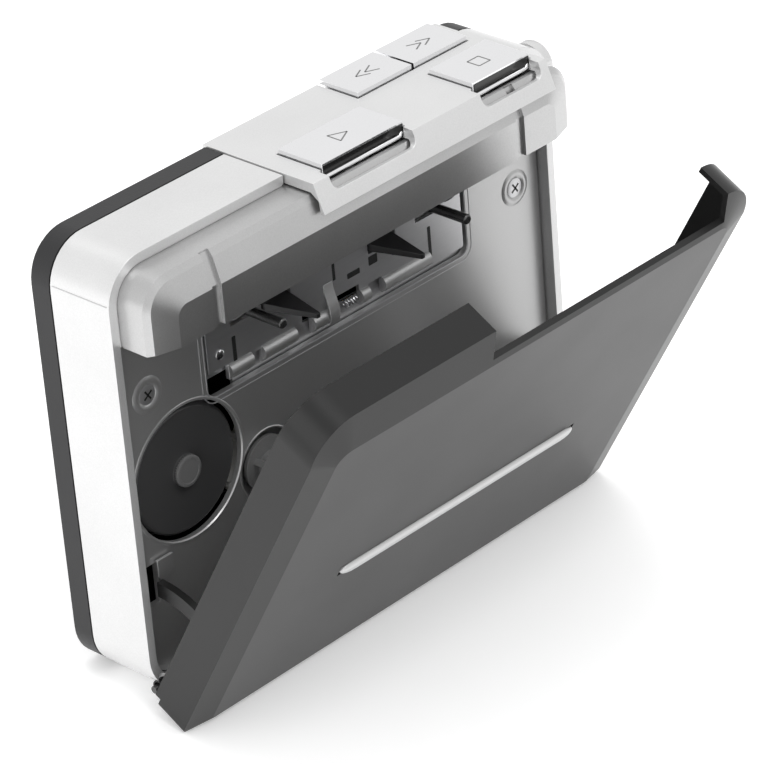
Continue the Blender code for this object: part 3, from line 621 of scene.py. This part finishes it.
def build_seam():
    """Fine parting line across the left wall of the frame, drawn as a thin grey strip of painted shade where
    the groove would be.
    """
    low, high = extent("frame")
    z0, z1 = SEAM_Z
    outline = [(low.y + 0.5, z0), (high.y - 0.5, z0), (high.y - 0.5, z1), (low.y + 0.5, z1)]
    line = loft([(outline, low.x - 0.005), (outline, low.x + 0.1)], place=across)
    add_piece("frame_seam", line, "seam_shade_grey", "player")


# Door details, drawn on the closed door

TRIM_FACE = -17.1
TRIM_MIDDLE = 32.6
TRIM_HALF = 31.2
TRIM_PROUD = 0.95
TRIM_HIGH = 1.2


def on_door(shape):
    """Turn a shape drawn on the closed door to where the open door is."""
    bmesh.ops.rotate(shape, verts=shape.verts, cent=HINGE, matrix=Matrix.Rotation(DOOR_OPEN, 3, "X"))
    return shape


def build_trim():
    """Bright half-round bar with tapered ends, let into the door's face."""
    face, level, half = TRIM_FACE, TRIM_MIDDLE, TRIM_HALF
    sections = []
    for i in range(33):
        x = -half * math.cos(math.pi * i / 32)
        share = min(1.0, (half - abs(x)) / 3.5)
        size = 0.12 + 0.88 * math.sqrt(max(0.0, share * (2.0 - share)))
        outline = []
        for degrees in range(-90, 91, 15):
            angle = math.radians(degrees)
            outline.append((face - TRIM_PROUD * size * math.cos(angle),
                            level + TRIM_HIGH * size * math.sin(angle)))
        outline += [(face + 0.4, level + TRIM_HIGH * size), (face + 0.4, level - TRIM_HIGH * size)]
        sections.append((outline, x))
    shape = on_door(loft(sections, place=across))
    add_piece("trim_bar", shape, "rolled_steel", "door", replaces=("door_trim",))


# Stage

DOOR_FOOT_Y = -14.0
FLOOR_GAP = 0.15
FLOOR_SIZE = 4.0                   # metres


def build_stage():
    """White floor that touches the back shell's lower edge and the open door's low corner."""
    slope = math.atan2(-DOOR_LOW.z, SHELL_HIGH.y - DOOR_FOOT_Y)
    mesh = bpy.data.meshes.new("floor")
    size = FLOOR_SIZE
    corners = [(-size, -size, 0), (size, -size, 0), (size, size, 0), (-size, size, 0)]
    mesh.from_pydata(corners, [], [(0, 1, 2, 3)])
    floor = bpy.data.objects.new("floor", mesh)
    bpy.context.scene.collection.objects.link(floor)
    floor.matrix_world = (Matrix.Translation(Vector((0, SHELL_HIGH.y, -FLOOR_GAP)) * MM)
                          @ Matrix.Rotation(slope, 4, "X"))
    made = surface("studio_floor", (0.97, 0.97, 0.97), 0.8, vary=0.01, grain=40.0, bump=0.0)
    glow = made.node_tree.nodes["Principled BSDF"]
    glow.inputs["Emission Color"].default_value = (1.0, 1.0, 1.0, 1.0)
    glow.inputs["Emission Strength"].default_value = 0.24
    mesh.materials.append(made)


def build_light(name, place, aim, size, power):
    """Soft rectangular lamp; places in metres, power in watts."""
    lamp = bpy.data.lights.new(name, "AREA")
    lamp.shape = "RECTANGLE"
    lamp.size, lamp.size_y = size
    lamp.energy = power
    thing = bpy.data.objects.new(name, lamp)
    bpy.context.scene.collection.objects.link(thing)
    direction = Vector(aim) - Vector(place)
    thing.matrix_world = Matrix.Translation(place) @ direction.to_track_quat("-Z", "Y").to_matrix().to_4x4()


def build_lights():
    """Bright even surroundings and three soft lamps."""
    world = bpy.data.worlds.new("studio")
    world.use_nodes = True
    world.node_tree.nodes["Background"].inputs["Color"].default_value = (1.0, 1.0, 1.0, 1.0)
    world.node_tree.nodes["Background"].inputs["Strength"].default_value = 0.92
    bpy.context.scene.world = world
    bpy.context.scene.view_settings.view_transform = "Standard"
    centre = (0.0, 0.0, 0.04)
    build_light("left_light", (-1.1, 0.1, 0.6), centre, (0.8, 0.9), 2.4)
    build_light("top_light", (0.2, 0.3, 1.3), centre, (0.9, 0.7), 3.0)
    build_light("front_light", (-0.1, -0.7, 1.2), centre, (0.5, 0.5), 3.2)


def build_camera():
    """Long lens from the front left, above the player."""
    lens = bpy.data.cameras.new("camera")
    lens.lens = 208.5
    lens.sensor_width = 36.0
    lens.clip_start = 0.05
    thing = bpy.data.objects.new("camera", lens)
    bpy.context.scene.collection.objects.link(thing)
    right = Vector((0.6796, -0.7300, -0.0729))
    up = Vector((0.4001, 0.2855, 0.8708))
    back = Vector((-0.6149, -0.6210, 0.4861))
    turn = Matrix((right, up, back)).transposed().to_4x4()
    thing.matrix_world = Matrix.Translation(Vector((-495.3, -514.9, 433.4)) * MM) @ turn
    bpy.context.scene.camera = thing


finish_nodes()
build_window_lip()
build_motor_cap()
build_screw_dishes()
build_reel_rims()
build_carriage_roll()
build_carriage_details()
build_key_fronts()
build_rim_fillers()
build_key_marks()
build_knob()
build_key_springs()
build_sockets()
build_seam()
build_trim()
build_stage()
build_lights()
build_camera()
